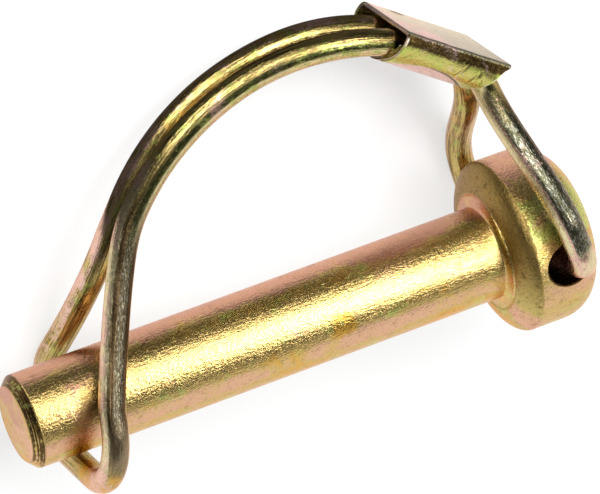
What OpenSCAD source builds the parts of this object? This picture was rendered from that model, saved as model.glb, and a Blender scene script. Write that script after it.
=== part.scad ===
/* [Pin] */
// Diameter of the plain shank
shank_d = 10; // [8:0.5:12]
// Length of the shank from its tip to the head's shoulder
shank_l = 53.9; // [45:0.1:70]
// Chamfer round the tip, measured along the shank
tip_chamfer = 1; // [0.4:0.1:1.5]
// Radius of the hollow fillet between the shank and the head
neck_r = 0.6; // [0.3:0.1:0.8]
// Diameter of the head
head_d = 18.6; // [17:0.1:22]
// Thickness of the head
head_l = 9.7; // [8.8:0.1:12]
// Depth of the domed front face of the head
head_dome = 1.8; // [0.8:0.1:2.4]
// How far round its ellipse the dome runs before the crease at the rim
dome_turn = 78; // [60:1:89]
// Radius of the head's back corner
head_back_r = 4; // [1:0.1:4.5]
// Distance from the shoulder to the cross hole's axis
hole_x = 5.26; // [4.4:0.02:5.6]

/* [Wire] */
// Diameter of the bail's spring wire
wire_d = 2.8; // [2.3:0.1:2.8]
// Distance from the tip face to the bar that snaps under the shank
bar_inset = 6.05; // [5:0.05:9]
// Clearance between the bar and the shank
bar_gap = 0.54; // [0.54:0.01:1.5]
// Clearance between the shank's sides and the loop where it is widest
side_gap = 2.9; // [2:0.1:4]
// Bend radius of the loop's two bottom corners, on the wire's centre line
corner_r = 5.4; // [4.8:0.1:6]
// How steeply the strands close in above the shank
splay_angle = 30; // [20:1:33]
// Length over which the strands close in
close_l = 19.4; // [16:0.2:24]
// Gap between the strands where they run side by side
strand_gap = 0.1; // [0.1:0.05:1]
// Sideways shift of the loop's bottom from the shank's middle
loop_shift = 0.6; // [0:0.05:0.8]
// How far each strand moves up or down at the top of the loop, one each way
strand_drop = 0.2; // [0:0.05:0.5]
// Straight stretch between the loop's bottom corner and the knee
knee_past = 0.85; // [0.4:0.05:2]
// Lean of the loop's lower part towards the head
lower_lean = 12.3; // [6:0.1:18]
// Lean of the strands above the knee
strand_lean = 25.4; // [20:0.1:30]
// Largest bend radius of the knee
knee_r = 7; // [4:1:9]
// Largest bend radius of the bail's top
crown_r = 25.4; // [18:0.1:30]
// Slope of the strands where they run into the clip
arm_slope = 20.3; // [16:0.1:26]

/* [Legs] */
// Distance from the clip's head end back to the corner where the legs bend down
leg_bend_back = 1.7; // [1.5:0.1:2.6]
// Bend radius where the legs leave the clip
leg_bend_r = 6; // [4:0.5:6.5]
// Length of leg between that bend's corner and the start of the flare
flare_start = 1.1; // [0.5:0.1:3]
// Length of leg between the end of the flare and the hook
flare_foot = 5; // [4:0.1:6]
// Gap between the side of the head and each leg
leg_gap = 0.7; // [0.3:0.05:1.5]
// Bend radius of the hooks that enter the cross hole
hook_r = 2; // [1.6:0.1:2.4]
// Half of the space between the two hooks' ends inside the head
hook_end = 3; // [1:0.5:5]
// Play of each hook in the cross hole, all round
hook_play = 0.9; // [0.1:0.05:1]
// Clearance left where each hook leans on the hole's wall, one each way
hook_clearance = 0.05; // [0.02:0.01:0.1]

/* [Clip] */
// Length of the clip
clip_l = 13; // [10:0.5:15]
// Thickness of the clip's sheet
sheet = 0.45; // [0.35:0.05:0.6]
// Clearance between the top plate and the strands
clip_fit = 0.25; // [0.2:0.05:0.3]
// Room under the strands inside the clip, as a share of the wire's diameter
belly_share = 0.23; // [0.16:0.005:0.5]
// Room beside the strand on the clip's near side
near_room = 1.4; // [1.1:0.05:2]
// Room beside the strand on the clip's far side, which bulges out
far_room = 2.25; // [1.8:0.05:3]
// How far the top plate's near crease lies inside the clip's near side
near_crease_in = 0.1; // [0.05:0.05:0.6]
// How far the top plate's far crease lies inside the clip's far side
far_crease_in = 1; // [0.5:0.05:1.5]
// Drop from the top plate to the widest level of the near side
near_drop = 0.9; // [0.6:0.1:1]
// Drop from the top plate to the widest level of the far side
far_drop = 1.6; // [1.3:0.1:1.9]
// Gap between the strands inside the clip
clip_strand_gap = 1.7; // [0.2:0.1:2]
// Width of the seam where the folded sheet's edges meet
seam_w = 0.4; // [0.2:0.1:0.8]
// Distance of the seam from the clip's middle, towards the near side
seam_out = 3.8; // [3:0.1:4]
// How far the belly's cut end reaches past the start of the legs' bend
cut_past = 0.1; // [0:0.05:0.4]
// Tilt of the clip
clip_tilt = 35.2; // [30:0.1:40]
// Distance from the cross hole back towards the tip to the clip's middle
clip_back = 6.18; // [4:0.02:8]
// Height of the middle of the clip's top plate above the cross hole
clip_up = 25.5; // [22:0.1:32]

/* [Rest] */
// Roll about the shank as the part lies on its side
rest_roll = -14.33; // [-20:0.01:0]
// Pitch of the shank as the part lies on its side
rest_pitch = -3.48; // [-6:0.01:0]

/* [Hidden] */
shank_r = shank_d / 2;
head_r = head_d / 2;
wire_r = wire_d / 2;
hole_d = wire_d + 2 * hook_play;
hook_skew = hook_play - hook_clearance;
dome_steps = 12;
belly_steps = 24;
overrun = 1;

// Sides of the swept wire, and its rings along each stretch
wire_sides = 12;
corner_steps = 10;
knee_steps = 3;
strand_steps = 8;
crown_steps = 24;
clip_steps = 3;
bend_steps = 5;
leg_steps = 14;
hook_steps = 5;

// Side view of the bail: X runs along the shank, Y rises from its axis
bar_at = [bar_inset - shank_l, -(shank_r + bar_gap + wire_r)];
lower_up = [sin(lower_lean), cos(lower_lean)];
corner_turn = 90 + splay_angle;
corner_rise = corner_r * (1 - cos(corner_turn));
knee_at = bar_at + (corner_rise + knee_past) * lower_up;
knee_round = min(knee_r, knee_past / tan((strand_lean - lower_lean) / 2));
clip_along = [cos(clip_tilt), -sin(clip_tilt)];
clip_out = [sin(clip_tilt), cos(clip_tilt)];
clip_top = [hole_x - clip_back, clip_up];
clip_core = clip_top - (sheet + clip_fit + wire_r) * clip_out;
mouth_at = clip_core - clip_l / 2 * clip_along;
leg_corner = clip_core + (clip_l / 2 - leg_bend_back) * clip_along;
strand_up = [sin(strand_lean), cos(strand_lean)];
arm_along = [cos(arm_slope), -sin(arm_slope)];
crown_at = crossing(knee_at, strand_up, mouth_at, arm_along);
crown_turn = 90 - strand_lean + arm_slope;
crown_round = min(crown_r, norm(mouth_at - crown_at) / tan(crown_turn / 2));
leg_turn = turn_between([hole_x, 0] - leg_corner, clip_along);
cut_back = leg_bend_back + leg_bend_r * tan(leg_turn / 2) - cut_past;

// Sideways distance of each strand from the middle
touch_w = wire_r + strand_gap / 2;
clip_strand_w = wire_r + clip_strand_gap / 2;
leg_w = head_r + leg_gap + wire_r;
bar_half = shank_r + side_gap + wire_r - corner_r;
corner_w = bar_half + corner_r * sin(corner_turn);
close_power = tan(splay_angle) * close_l / (corner_w - touch_w);

// Section of the clip
near_half = clip_strand_w + wire_r + near_room + sheet;
far_half = clip_strand_w + wire_r + far_room + sheet;
clip_h = 2 * sheet + clip_fit + (1 + belly_share) * wire_d;

function unit(v) = v / norm(v);

// Where the line through p along u meets the line through q along v
function crossing(p, u, q, v) =
    p + u * ((q.x - p.x) * v.y - (q.y - p.y) * v.x) / (u.x * v.y - u.y * v.x);

function turn_between(u, v) = acos(min(1, unit(u) * unit(v)));

// Points of the arc that rounds the corner between two straight stretches
function rounded(before, corner, after, r, steps) =
    let (
        u = unit(corner - before),
        v = unit(after - corner),
        turn = turn_between(u, v),
        start = corner - u * r * tan(turn / 2),
        inward = unit(v - u * (u * v))
    )
    [for (i = [0:steps]) start + u * r * sin(turn * i / steps) + inward * r * (1 - cos(turn * i / steps))];

// Points of a straight stretch, both ends left out
function between(p, q, steps) = [for (i = [1:steps - 1]) p + (q - p) * i / steps];

// A smooth rise from 0 to 1
function ease(t) = (1 - cos(180 * t)) / 2;

function last(list) = list[len(list) - 1];

function place_of(point, list) = [for (i = [0:len(list) - 1]) if (list[i] == point) i][0];

// Distance along a list of points, for each of its points
function distances(p) = [
    for (i = 0, s = 0; i < len(p); i = i + 1, s = i < len(p) ? s + norm(p[i] - p[i - 1]) : s) s
];

// The bail's side view from the end of its bottom corner to the top of one hook
function side_view(hook_at) =
    let (
        start = bar_at + corner_rise * lower_up,
        knee = rounded(start, knee_at, crown_at, knee_round, knee_steps),
        crown = rounded(knee_at, crown_at, mouth_at, crown_round, crown_steps),
        bend = rounded(mouth_at, leg_corner, hook_at, leg_bend_r, bend_steps),
        foot = hook_at - hook_r * unit(hook_at - leg_corner)
    )
    [
        start,
        each knee,
        each between(last(knee), crown[0], strand_steps),
        each crown,
        mouth_at,
        each between(mouth_at, bend[0], clip_steps),
        each bend,
        each between(last(bend), foot, leg_steps),
        foot
    ];

// Sideways distance of a strand at s along its side view
function spread(s, mouth, leg, flare_l) =
    let (open_from = (close_l + mouth) / 2)
    s < close_l ? touch_w + (corner_w - touch_w) * pow(1 - s / close_l, close_power) :
    s < open_from ? touch_w :
    s < mouth ? touch_w + (clip_strand_w - touch_w) * ease((s - open_from) / (mouth - open_from)) :
    s < leg ? clip_strand_w :
    s < leg + flare_l ? clip_strand_w + (leg_w - clip_strand_w) * ease((s - leg) / flare_l) :
    leg_w;

// The loop's bottom sits to one side, and its strands come back to the middle as they close
function shift(s) = s < close_l ? -loop_shift * pow(1 - s / close_l, 2) : 0;

// One strand moves up and the other down between where they close and the clip
function drop(s, mouth) =
    s < close_l || s > mouth ? 0 : strand_drop * sin(180 * (s - close_l) / (mouth - close_l));

// One half of the wire's centre line, from beside the bar's middle to a hook's end
function half_wire(side) =
    let (
        hook_at = [hole_x + side * hook_skew, 0],
        view = side_view(hook_at),
        s = distances(view),
        mouth = s[place_of(mouth_at, view)],
        leg = mouth + norm(leg_corner - mouth_at) + flare_start,
        flare_l = norm(hook_at - leg_corner) - flare_start - flare_foot,
        down = unit(hook_at - leg_corner)
    )
    [
        for (i = [0:corner_steps])
            let (
                turn = corner_turn * i / corner_steps,
                p = bar_at + corner_r * (1 - cos(turn)) * lower_up
            )
            [p.x, p.y, side * (bar_half + corner_r * sin(turn)) - loop_shift],
        for (i = [1:len(view) - 1])
            [
                view[i].x,
                view[i].y - side * drop(s[i], mouth),
                side * spread(s[i], mouth, leg, flare_l) + shift(s[i])
            ],
        for (i = [1:hook_steps])
            let (
                turn = 90 * i / hook_steps,
                p = last(view) + hook_r * sin(turn) * down
            )
            [p.x, p.y, side * (leg_w - hook_r * (1 - cos(turn)))],
        [hook_at.x, hook_at.y, side * hook_end]
    ];

function reversed(list) = [for (i = [len(list) - 1:-1:0]) list[i]];

// Directions along a list of points, each the mean of the stretches beside it
function directions(p) = [
    for (i = [0:len(p) - 1])
        unit(
            (i > 0 ? unit(p[i] - p[i - 1]) : [0, 0, 0])
            + (i + 1 < len(p) ? unit(p[i + 1] - p[i]) : [0, 0, 0])
        )
];

// A wire swept along the points, its section carried from ring to ring without twist
module wire(p, r, sides) {
    along = directions(p);
    across = [
        for (
            i = 0, e = unit(cross(along[0], [0, 1, 0]));
            i < len(p);
            i = i + 1, e = i < len(p) ? unit(e - along[i] * (e * along[i])) : e
        ) e
    ];
    points = [
        for (i = [0:len(p) - 1], k = [0:sides - 1])
            p[i] + r * (cos(360 * k / sides) * across[i] + sin(360 * k / sides) * cross(along[i], across[i]))
    ];
    walls = [
        for (i = [0:len(p) - 2], k = [0:sides - 1])
            let (a = i * sides + k, b = i * sides + (k + 1) % sides)
            [a, a + sides, b + sides, b]
    ];
    polyhedron(
        points,
        [[for (k = [0:sides - 1]) k], each walls, [for (k = [sides - 1:-1:0]) (len(p) - 1) * sides + k]],
        convexity = 10
    );
}

// The part is drawn with the shank along X, the shoulder at zero and the bail rising along Y.
// It is laid on its side about the end of the plain shank, which is the part's origin.
module laid() {
    rotate([rest_roll, rest_pitch, 0]) translate([neck_r, 0, 0]) children();
}

// Half section of the pin, with the shoulder at zero
module pin_section() {
    face_r = shank_r + neck_r;
    polygon([
        [0, -shank_l],
        [shank_r - tip_chamfer, -shank_l],
        [shank_r, tip_chamfer - shank_l],
        [shank_r, 0],
        for (i = [0:dome_steps])
            let (turn = dome_turn * i / dome_steps)
            [
                face_r + (head_r - face_r) * sin(turn) / sin(dome_turn),
                head_dome * (1 - cos(turn)) / (1 - cos(dome_turn))
            ],
        [head_r, head_l - head_back_r],
        [head_r - head_back_r, head_l],
        [0, head_l]
    ]);
    difference() {
        translate([shank_r, -neck_r]) square(neck_r);
        translate([face_r, -neck_r]) circle(neck_r, $fn = 48);
    }
    intersection() {
        translate([head_r - head_back_r, head_l - head_back_r]) circle(head_back_r, $fn = 96);
        square([head_r, head_l]);
    }
}

module pin() {
    color("goldenrod")
        laid()
        difference() {
            rotate([0, 90, 0]) rotate_extrude($fn = 96) pin_section();
            translate([hole_x, 0, -head_r - overrun])
                cylinder(d = hole_d, h = head_d + 2 * overrun, $fn = 48);
        }
}

module bail() {
    color("darkkhaki") laid() wire(concat(reversed(half_wire(1)), half_wire(-1)), wire_r, wire_sides);
}

// One half of the clip's section, from the top plate's crease round the belly to its lowest point
function clip_half(width, crease_in, drop, inset) = [
    [width - crease_in - inset, -inset],
    for (i = [0:belly_steps])
        let (turn = 90 * i / belly_steps)
        [(width - inset) * cos(turn), -drop - (clip_h - drop - inset) * sin(turn)]
];

// Outline of the clip's section: a flat top plate and a rounded belly that bulges on the far side
module clip_outline(inset) {
    far = clip_half(far_half, far_crease_in, far_drop, inset);
    near = clip_half(near_half, near_crease_in, near_drop, inset);
    polygon(concat(far, [for (i = [len(near) - 2:-1:0]) [-near[i].x, near[i].y]]));
}

// The clip from the side: square at the tip end, cut back at the head end so that the legs can bend down
module clip_side() {
    polygon([
        [-clip_l / 2, overrun],
        [clip_l / 2, overrun],
        [clip_l / 2, 0],
        [clip_l / 2 - cut_back, -clip_h],
        [clip_l / 2 - cut_back, -clip_h - overrun],
        [-clip_l / 2, -clip_h - overrun]
    ]);
}

module clip() {
    color("goldenrod")
        laid()
        translate([clip_top.x, clip_top.y, 0])
        rotate([0, 0, -clip_tilt])
        intersection() {
            rotate([0, 90, 0])
                translate([0, 0, -clip_l / 2])
                linear_extrude(clip_l)
                difference() {
                    clip_outline(0);
                    clip_outline(sheet);
                    translate([-seam_out - seam_w / 2, -clip_h]) square([seam_w, clip_h / 2]);
                }
            translate([0, 0, -2 * far_half]) linear_extrude(4 * far_half) clip_side();
        }
}

pin();
bail();
clip();
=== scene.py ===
import math

import bpy
import numpy as np
from mathutils import Matrix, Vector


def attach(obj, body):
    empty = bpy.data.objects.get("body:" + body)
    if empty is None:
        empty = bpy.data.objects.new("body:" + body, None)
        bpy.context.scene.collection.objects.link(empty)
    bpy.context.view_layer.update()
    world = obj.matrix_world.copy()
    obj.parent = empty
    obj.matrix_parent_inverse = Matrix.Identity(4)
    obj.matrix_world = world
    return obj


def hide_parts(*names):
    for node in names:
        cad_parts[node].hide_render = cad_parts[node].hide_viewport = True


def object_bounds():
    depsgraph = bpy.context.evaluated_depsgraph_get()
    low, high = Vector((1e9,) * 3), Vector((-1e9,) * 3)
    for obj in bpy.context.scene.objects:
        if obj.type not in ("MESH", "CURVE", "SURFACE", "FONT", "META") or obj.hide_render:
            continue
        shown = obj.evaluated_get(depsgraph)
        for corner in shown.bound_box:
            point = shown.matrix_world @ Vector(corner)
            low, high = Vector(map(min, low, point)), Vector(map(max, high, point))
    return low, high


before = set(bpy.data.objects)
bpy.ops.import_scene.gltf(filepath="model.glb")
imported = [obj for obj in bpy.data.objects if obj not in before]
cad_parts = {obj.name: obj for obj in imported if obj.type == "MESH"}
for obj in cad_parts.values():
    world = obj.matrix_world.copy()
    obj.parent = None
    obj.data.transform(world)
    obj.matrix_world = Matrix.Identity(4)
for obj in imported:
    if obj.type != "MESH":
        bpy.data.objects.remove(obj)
cad_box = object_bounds()

# ---------------------------------------------------------------------------------------------
# Bench drawing and camera. Shapes are worked out in millimetres as on a bench drawing: X runs
# along the shank towards the head with the shoulder at zero, the bail rises along Y, and Z is
# the near side. The finished part is laid on its side, resting on its bail and its clip.
# ---------------------------------------------------------------------------------------------
MILLIMETRE = 0.001
NECK_R = 0.6
REST_ROLL = math.radians(-14.33)
REST_PITCH = math.radians(-3.48)
ROLLED = np.array([
    [1, 0, 0],
    [0, math.cos(REST_ROLL), -math.sin(REST_ROLL)],
    [0, math.sin(REST_ROLL), math.cos(REST_ROLL)],
])
PITCHED = np.array([
    [math.cos(REST_PITCH), 0, math.sin(REST_PITCH)],
    [0, 1, 0],
    [-math.sin(REST_PITCH), 0, math.cos(REST_PITCH)],
])
LAID = PITCHED @ ROLLED

CAMERA_AIM = np.array([-22.4, 11.06, 6.07])
CAMERA_AZIMUTH = math.radians(-20.45)
CAMERA_ELEVATION = math.radians(25.71)
CAMERA_ROLL = math.radians(-10.75)
CAMERA_DISTANCE = 541.7
CAMERA_LENS = 322.0


def lay_down(points):
    """Bench millimetres to frame metres: moved by the neck's radius, rolled about X, pitched about Y."""
    return (points + np.array([NECK_R, 0, 0])) @ LAID.T * MILLIMETRE


def direction(v):
    """The unit vector along v."""
    return np.asarray(v, float) / np.linalg.norm(v)


def camera_axes():
    """The camera's right, up and back directions on the bench, from its azimuth, elevation and roll."""
    level = math.cos(CAMERA_ELEVATION)
    back = np.array([
        level * math.sin(CAMERA_AZIMUTH), math.sin(CAMERA_ELEVATION), level * math.cos(CAMERA_AZIMUTH)
    ])
    right = direction(np.cross([0, 1, 0], back))
    right = math.cos(CAMERA_ROLL) * right + math.sin(CAMERA_ROLL) * np.cross(back, right)
    return right, np.cross(back, right), back


def placed(name, data):
    """A new object in the scene."""
    thing = bpy.data.objects.new(name, data)
    bpy.context.scene.collection.objects.link(thing)
    return thing


def standing(axes, place):
    """The matrix of something that stands at a place in the frame, from its own three axes."""
    matrix = np.eye(4)
    matrix[:3, :3] = axes
    matrix[:3, 3] = place
    return Matrix(matrix.tolist())


camera = placed("camera", bpy.data.cameras.new("camera"))
camera.data.lens = CAMERA_LENS
camera.data.sensor_width = 36
camera.data.clip_end = 10
right, up, back = camera_axes()
camera.matrix_world = standing(
    LAID @ np.column_stack([right, up, back]), lay_down(CAMERA_AIM + CAMERA_DISTANCE * back)
)
bpy.context.scene.camera = camera

# ---------------------------------------------------------------------------------------------
# Table, room and lamps. A plain white table in a white room, one wide softbox on the camera's
# side, and black velvet round the camera and on the table's near half. Only reflections meet
# the velvet: it gives bright metal its dark bands, and nothing else sees it.
# ---------------------------------------------------------------------------------------------
TABLE_SIZE = 6.0
TABLE_WHITE = 0.86
TABLE_GLOW = 0.6
ROOM_LIGHT = 0.55
SOFTBOX_SIZE = (0.80, 0.24)
SOFTBOX_DISTANCE = 0.5
SOFTBOX_POWER = 6.3
SOFTBOX_TOWARDS = (0.03, 0.758, 0.652)
SOFTBOX_LENGTHWAYS = (0.74, -0.44, 0.50)
# The skirt is a pale cloth hung behind the softbox, so that its reflection fades out at the edges
SKIRT_SIZE = (0.95, 0.60)
SKIRT_DISTANCE = 0.52
SKIRT_GLOW = 0.5
VELVET_TOWARDS = (-0.2, 0.83, 0.52)
VELVET_REACH = 82
VELVET_RADIUS = 1.5
VELVET_GLOW = 0.085
VELVET_TABLE_EDGE = 0.016
VELVET_NOTCH = [(0.0045, 0.016), (-0.008, 0.024), (0.001, 0.030), (0.018, 0.0195), (0.018, 0.016)]
VELVET_LIFT = 0.00005
# The grey card stands round the lens, and the black one beside the clip
LENS_CARD_TOWARDS = (-0.22, 0.64, 0.74)
LENS_CARD_REACH = 25
LENS_CARD_RADIUS = 0.4
LENS_CARD_GLOW = 0.28
SIDE_CARD = [(20, 56, 40), (62, 47, 30), (62, 19, 64), (20, 28, 74)]
DOME_START = 0.5
DOME_ROWS = 24
DOME_COLUMNS = 48


def add(tree, kind, sockets=None, **settings):
    """A node with its settings, each of its sockets given a value or a link from another node's output."""
    node = tree.nodes.new(kind)
    for name, value in settings.items():
        setattr(node, name, value)
    for name, value in (sockets or {}).items():
        if isinstance(value, bpy.types.NodeSocket):
            tree.links.new(value, node.inputs[name])
        else:
            node.inputs[name].default_value = value
    return node


def maths(tree, operation, a, b=0.0, c=0.0, clamp=False):
    """One sum of up to three numbers or links."""
    return add(tree, "ShaderNodeMath", {0: a, 1: b, 2: c}, operation=operation, use_clamp=clamp).outputs[0]


def largest(tree, first, *others):
    """The largest of several masks."""
    for other in others:
        first = maths(tree, "MAXIMUM", first, other)
    return first


def sees_background(tree):
    """1 for rays from the camera, a glossy surface or a clear one, and 0 for the rest."""
    path = add(tree, "ShaderNodeLightPath").outputs
    return largest(tree, path["Is Camera Ray"], path["Is Glossy Ray"], path["Is Transmission Ray"])


def new_material(name):
    """A material with its nodes and its shader."""
    material = bpy.data.materials.new(name)
    material.use_nodes = True
    return material, material.node_tree, material.node_tree.nodes["Principled BSDF"]


def table_material():
    """White laminate, with part of its white given as a glow to the rays that see the background."""
    material, tree, shader = new_material("table_white")
    shader.inputs["Base Color"].default_value = (TABLE_WHITE, TABLE_WHITE, TABLE_WHITE, 1)
    shader.inputs["Roughness"].default_value = 0.9
    shader.inputs["Specular IOR Level"].default_value = 0.1
    glow = add(tree, "ShaderNodeEmission")
    mix = add(tree, "ShaderNodeMixShader", {
        "Fac": maths(tree, "MULTIPLY", sees_background(tree), TABLE_GLOW),
        1: shader.outputs["BSDF"], 2: glow.outputs["Emission"],
    })
    tree.links.new(mix.outputs["Shader"], tree.nodes["Material Output"].inputs["Surface"])
    return material


def glow_material(name, strength):
    """A cloth seen only in reflections, as an even glow."""
    material, tree, shader = new_material(name)
    tree.nodes.remove(shader)
    glow = add(tree, "ShaderNodeEmission", {"Strength": strength})
    tree.links.new(glow.outputs["Emission"], tree.nodes["Material Output"].inputs["Surface"])
    return material


def stage_sheet(name, points, faces, material):
    """A sheet that belongs to the stage and not to the part, in metres."""
    mesh = bpy.data.meshes.new(name)
    mesh.from_pydata(points, [], faces)
    mesh.materials.append(material)
    sheet = placed(name, mesh)
    return sheet


def rings(rows, columns):
    """The numbers of the points in closed rings, row by row, and the four-sided faces between the rings."""
    index = np.arange(rows * columns).reshape(rows, columns)
    here, there = index[:-1], index[1:]
    quads = np.stack([here, np.roll(here, -1, 1), np.roll(there, -1, 1), there], axis=2)
    return index.tolist(), quads.reshape(-1, 4).tolist()


def dome(towards, reach, radius):
    """Cap of a sphere round a direction: polar angle up to reach in rows, and a full turn in columns."""
    z = direction(towards)
    x = direction(np.cross([1, 0, 0], z))
    y = np.cross(z, x)
    polar = np.radians(np.linspace(DOME_START, reach, DOME_ROWS))[:, None]
    turn = np.linspace(0, 2 * np.pi, DOME_COLUMNS, endpoint=False)[None, :]
    points = radius * (
        (np.sin(polar) * np.cos(turn))[..., None] * x
        + (np.sin(polar) * np.sin(turn))[..., None] * y
        + (np.cos(polar) * np.ones_like(turn))[..., None] * z
    )
    index, quads = rings(DOME_ROWS, DOME_COLUMNS)
    return points.reshape(-1, 3).tolist(), quads + [index[0][::-1]]


def only_in_reflections(sheet):
    """Hides a sheet from the camera and from every light path but a glossy one."""
    for path in ("camera", "diffuse", "transmission", "volume_scatter", "shadow"):
        setattr(sheet, "visible_" + path, False)


table_z = cad_box[0].z
edge = TABLE_SIZE / 2
table_corners = [(x, y, table_z) for x, y in ((-edge, -edge), (edge, -edge), (edge, edge), (-edge, edge))]
stage_sheet("table", table_corners, [(0, 1, 2, 3)], table_material())
velvet = glow_material("velvet_black", VELVET_GLOW)
velvet_dome = dome(VELVET_TOWARDS, VELVET_REACH, VELVET_RADIUS)
only_in_reflections(stage_sheet("velvet_dome", *velvet_dome, velvet))
lens_card = dome(LENS_CARD_TOWARDS, LENS_CARD_REACH, LENS_CARD_RADIUS)
only_in_reflections(stage_sheet("lens_card", *lens_card, glow_material("card_grey", LENS_CARD_GLOW)))
side_card = lay_down(np.array(SIDE_CARD, float)).tolist()
only_in_reflections(stage_sheet("side_card", side_card, [(0, 1, 2, 3)], velvet))
notch_far = VELVET_NOTCH[2][1]
left = [(-edge, VELVET_TABLE_EDGE)] + VELVET_NOTCH[:3] + [(-edge, notch_far)]
right = [(edge, VELVET_TABLE_EDGE), (edge, notch_far)] + VELVET_NOTCH[2:]
far = [(-edge, notch_far), (edge, notch_far), (edge, edge), (-edge, edge)]
velvet_points = [(x, y, table_z + VELVET_LIFT) for x, y in left + right + far]
only_in_reflections(stage_sheet("velvet_table", velvet_points, [
    tuple(range(len(left))),
    tuple(range(len(left), len(left) + len(right))),
    tuple(range(len(left) + len(right), len(velvet_points))),
], velvet))

softbox = placed("softbox", bpy.data.lights.new("softbox", "AREA"))
softbox.data.shape = "RECTANGLE"
softbox.data.size, softbox.data.size_y = SOFTBOX_SIZE
softbox.data.energy = SOFTBOX_POWER
facing = direction(SOFTBOX_TOWARDS)
slanted = np.array(SOFTBOX_LENGTHWAYS)
lengthways = direction(slanted - facing * (facing @ slanted))
sideways = np.cross(facing, lengthways)
softbox.matrix_world = standing(np.column_stack([lengthways, sideways, facing]), SOFTBOX_DISTANCE * facing)
skirt_points = np.array([(-1, -1), (1, -1), (1, 1), (-1, 1)]) * np.array(SKIRT_SIZE) / 2
skirt_points = skirt_points @ np.array([lengthways, sideways]) + SKIRT_DISTANCE * facing
skirt = glow_material("softbox_skirt", SKIRT_GLOW)
only_in_reflections(stage_sheet("softbox_skirt", skirt_points.tolist(), [(0, 1, 2, 3)], skirt))

room = bpy.data.worlds.new("white_room")
bpy.context.scene.world = room
room.use_nodes = True
room_level = add(room.node_tree, "ShaderNodeMapRange", {
    "Value": sees_background(room.node_tree), "To Min": ROOM_LIGHT
})
backdrop = room.node_tree.nodes["Background"].inputs
backdrop["Color"].default_value = (1, 1, 1, 1)
room.node_tree.links.new(room_level.outputs["Result"], backdrop["Strength"])
bpy.context.scene.view_settings.view_transform = "Standard"

# ---------------------------------------------------------------------------------------------
# The pin: turned from round steel, with a chamfered tip, a hollow fillet under the head, a
# domed front face and one round cross hole for the bail. Zinc plated, then yellow passivated.
# ---------------------------------------------------------------------------------------------
SHANK_R = 5.0
SHANK_L = 53.9
TIP_CHAMFER = 1.0
NECK_RING_R = 6.15
NECK_GROOVE = 0.09
NECK_RUN = 0.35
HEAD_R = 9.3
HEAD_L = 9.7
HEAD_DOME = 1.8
DOME_TURN = 78
HEAD_BACK_R = 4.0
TIP_EASE = 0.16
NECK_EASE = 0.06
RIM_EASE = 0.12
MIDDLE_R = 0.02
PIN_SIDES = 192
PIN_CREASE = 30
HOLE_X = 5.26
HOLE_R = 2.3
HOLE_MOUTH_R = 2.75
HOLE_MOUTH = (9.4, 8.85)
DRILL_HALF = 11
DRILL_SIDES = 96
PIN_GOLD = (0.66, 0.47, 0.17, 1)
# The dome's dark olive is painted shade, and the lighter lime on its lower side is painted light
PIN_DOME_SHADE = (0.30, 0.20, 0.06, 1)
PIN_DOME_LIT_SIDE = (0.58, 0.46, 0.15, 1)
# Near black for a ragged dark band on the chamfer, and painted shade inside the cross hole
PIN_DARK_AND_BORE_SHADE = (0.09, 0.055, 0.02, 1)
PIN_PINK = (0.60, 0.32, 0.205, 1)
PIN_ROSE = (0.74, 0.44, 0.27, 1)
PIN_EDGE = (1.0, 0.82, 0.76)
PIN_GRIT = 1.6
PIN_MARKS = 1.2
PIN_ROUGHNESS = 0.13
PIN_WEAR = 0.05
PIN_DEPTH = 0.03
PIN_STAIN = (-18.5, 0.2, 5)
# Where the pin's tints begin and are full, in degrees round its axis from the near side. The flanks' pink and
# the rim's green patch are painted reflections, and the dome's low side is painted lighter as painted light.
LOWER_FLANK_REFLECTION = ((0, -14), (-38, -24))
UPPER_FLANK_REFLECTION = (58, 84)
RIM_GREEN_REFLECTION = ((60, 44), (8, 24))
DOME_LIT_SIDE = (12, -42)
DOME_BOTTOM = (-54, -70)
FACE_GRIT = 2.5
FILM_DIRT = (0.10, 0.07, 0.025, 1)


def along_polyline(corners, step):
    """Points along straight stretches between corners, about one step apart, every corner kept."""
    corners = np.asarray(corners, float)
    gaps = np.linalg.norm(np.diff(corners, axis=0), axis=1)
    runs = [
        corners[i] + (corners[i + 1] - corners[i]) * np.linspace(0, 1, max(2, int(gap / step) + 1))[:-1, None]
        for i, gap in enumerate(gaps)
    ]
    return np.vstack(runs + [corners[-1:]])


def softened(corners, radius, step):
    """A polyline with each inner corner bent round a small parabola that starts a radius before it."""
    corners = np.asarray(corners, float)
    out = [corners[0]]
    for before, corner, after in zip(corners[:-2], corners[1:-1], corners[2:]):
        reach_in = min(radius, np.linalg.norm(corner - before) / 2)
        reach_out = min(radius, np.linalg.norm(after - corner) / 2)
        start = corner + direction(before - corner) * reach_in
        end = corner + direction(after - corner) * reach_out
        t = np.linspace(0, 1, 5)[:, None]
        out.extend((1 - t) ** 2 * start + 2 * t * (1 - t) * corner + t ** 2 * end)
    out.append(corners[-1])
    return along_polyline(np.array(out), step)


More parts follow.
